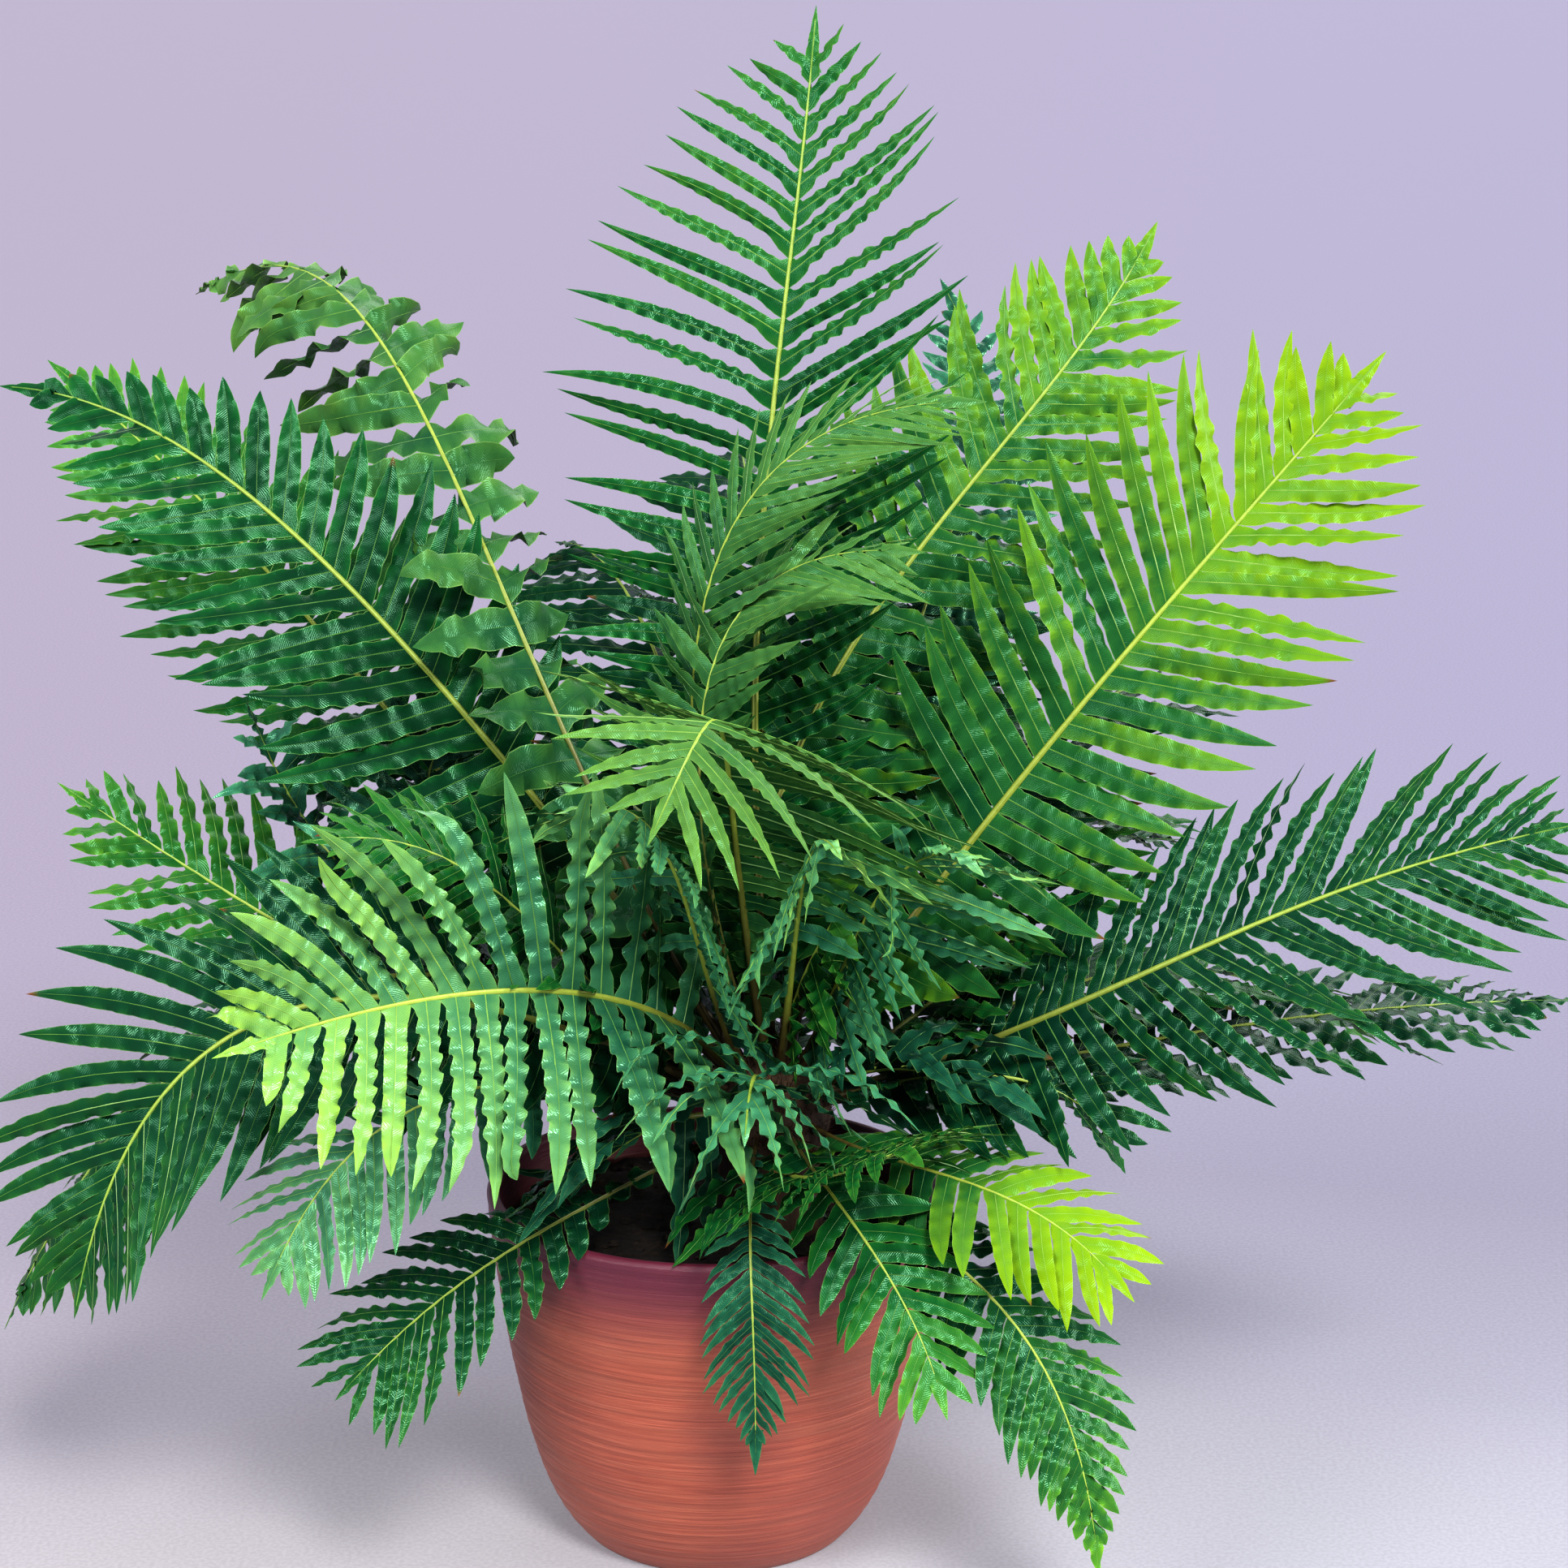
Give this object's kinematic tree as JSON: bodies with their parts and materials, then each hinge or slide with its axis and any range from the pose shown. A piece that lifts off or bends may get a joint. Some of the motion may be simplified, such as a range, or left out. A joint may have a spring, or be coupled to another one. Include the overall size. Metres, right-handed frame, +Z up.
{
  "type": "potted fern",
  "caption": "Leafy silver lady fern with arching feather-shaped fronds on a short crown, planted in a soil-filled turned clay pot that stands on its flat foot.",
  "frame": {"origin": "centre of the pot's flat foot, on the surface that the pot stands on", "axes": "+Z up along the pot's axis, -Y towards the viewer of the plant's front, +X to that viewer's right"},
  "size_m": [0.8554, 0.6414, 0.802],
  "materials": {
    "fired_clay": "satin fired clay with fine turning lines",
    "potting_soil": "crumbly, matte",
    "crown_fibre": "fibrous, matte",
    "deep_green_leaf": "leathery, low sheen",
    "green_leaf": "leathery, low sheen",
    "lime_green_leaf": "leathery, low sheen"
  },
  "bodies": {
    "root": {"pot": "fired_clay", "soil": "potting_soil", "crown": "crown_fibre", "frond_top": "green_leaf", "frond_toward_front": "green_leaf", "frond_high_right": "lime_green_leaf", "frond_right": "lime_green_leaf", "frond_broad_right": "deep_green_leaf", "frond_low_right": "deep_green_leaf", "frond_left": "green_leaf", "frond_behind_left": "green_leaf", "frond_hooked_left": "green_leaf", "frond_mid_left": "green_leaf", "frond_dark_upright": "deep_green_leaf", "frond_falling_left": "deep_green_leaf", "frond_far_left": "deep_green_leaf", "frond_front_left": "lime_green_leaf", "frond_small_left": "lime_green_leaf", "frond_rim_left": "deep_green_leaf", "frond_front_drop": "deep_green_leaf", "frond_front_right": "green_leaf", "frond_bright_right": "lime_green_leaf", "frond_rim_right": "deep_green_leaf", "frond_young_right": "green_leaf", "frond_young_low": "green_leaf", "frond_inner_left": "deep_green_leaf", "frond_curled_left": "deep_green_leaf", "frond_short_left": "green_leaf", "frond_crinkled": "green_leaf", "frond_inner_right": "deep_green_leaf", "frond_short_front": "green_leaf", "frond_heart_left": "deep_green_leaf", "frond_heart_right": "deep_green_leaf", "frond_heart_front": "deep_green_leaf", "frond_mouth_left": "deep_green_leaf", "frond_mouth_right": "deep_green_leaf", "frond_heart_middle": "deep_green_leaf", "frond_back_a": "deep_green_leaf", "frond_back_b": "deep_green_leaf", "frond_back_c": "deep_green_leaf", "frond_back_d": "deep_green_leaf", "frond_back_e": "deep_green_leaf", "frond_back_f": "green_leaf", "frond_back_g": "deep_green_leaf", "frond_back_h": "deep_green_leaf", "frond_back_i": "green_leaf", "frond_back_j": "green_leaf", "frond_back_k": "deep_green_leaf", "frond_back_l": "deep_green_leaf", "frond_side_right": "deep_green_leaf"}
  },
  "joints": []
}
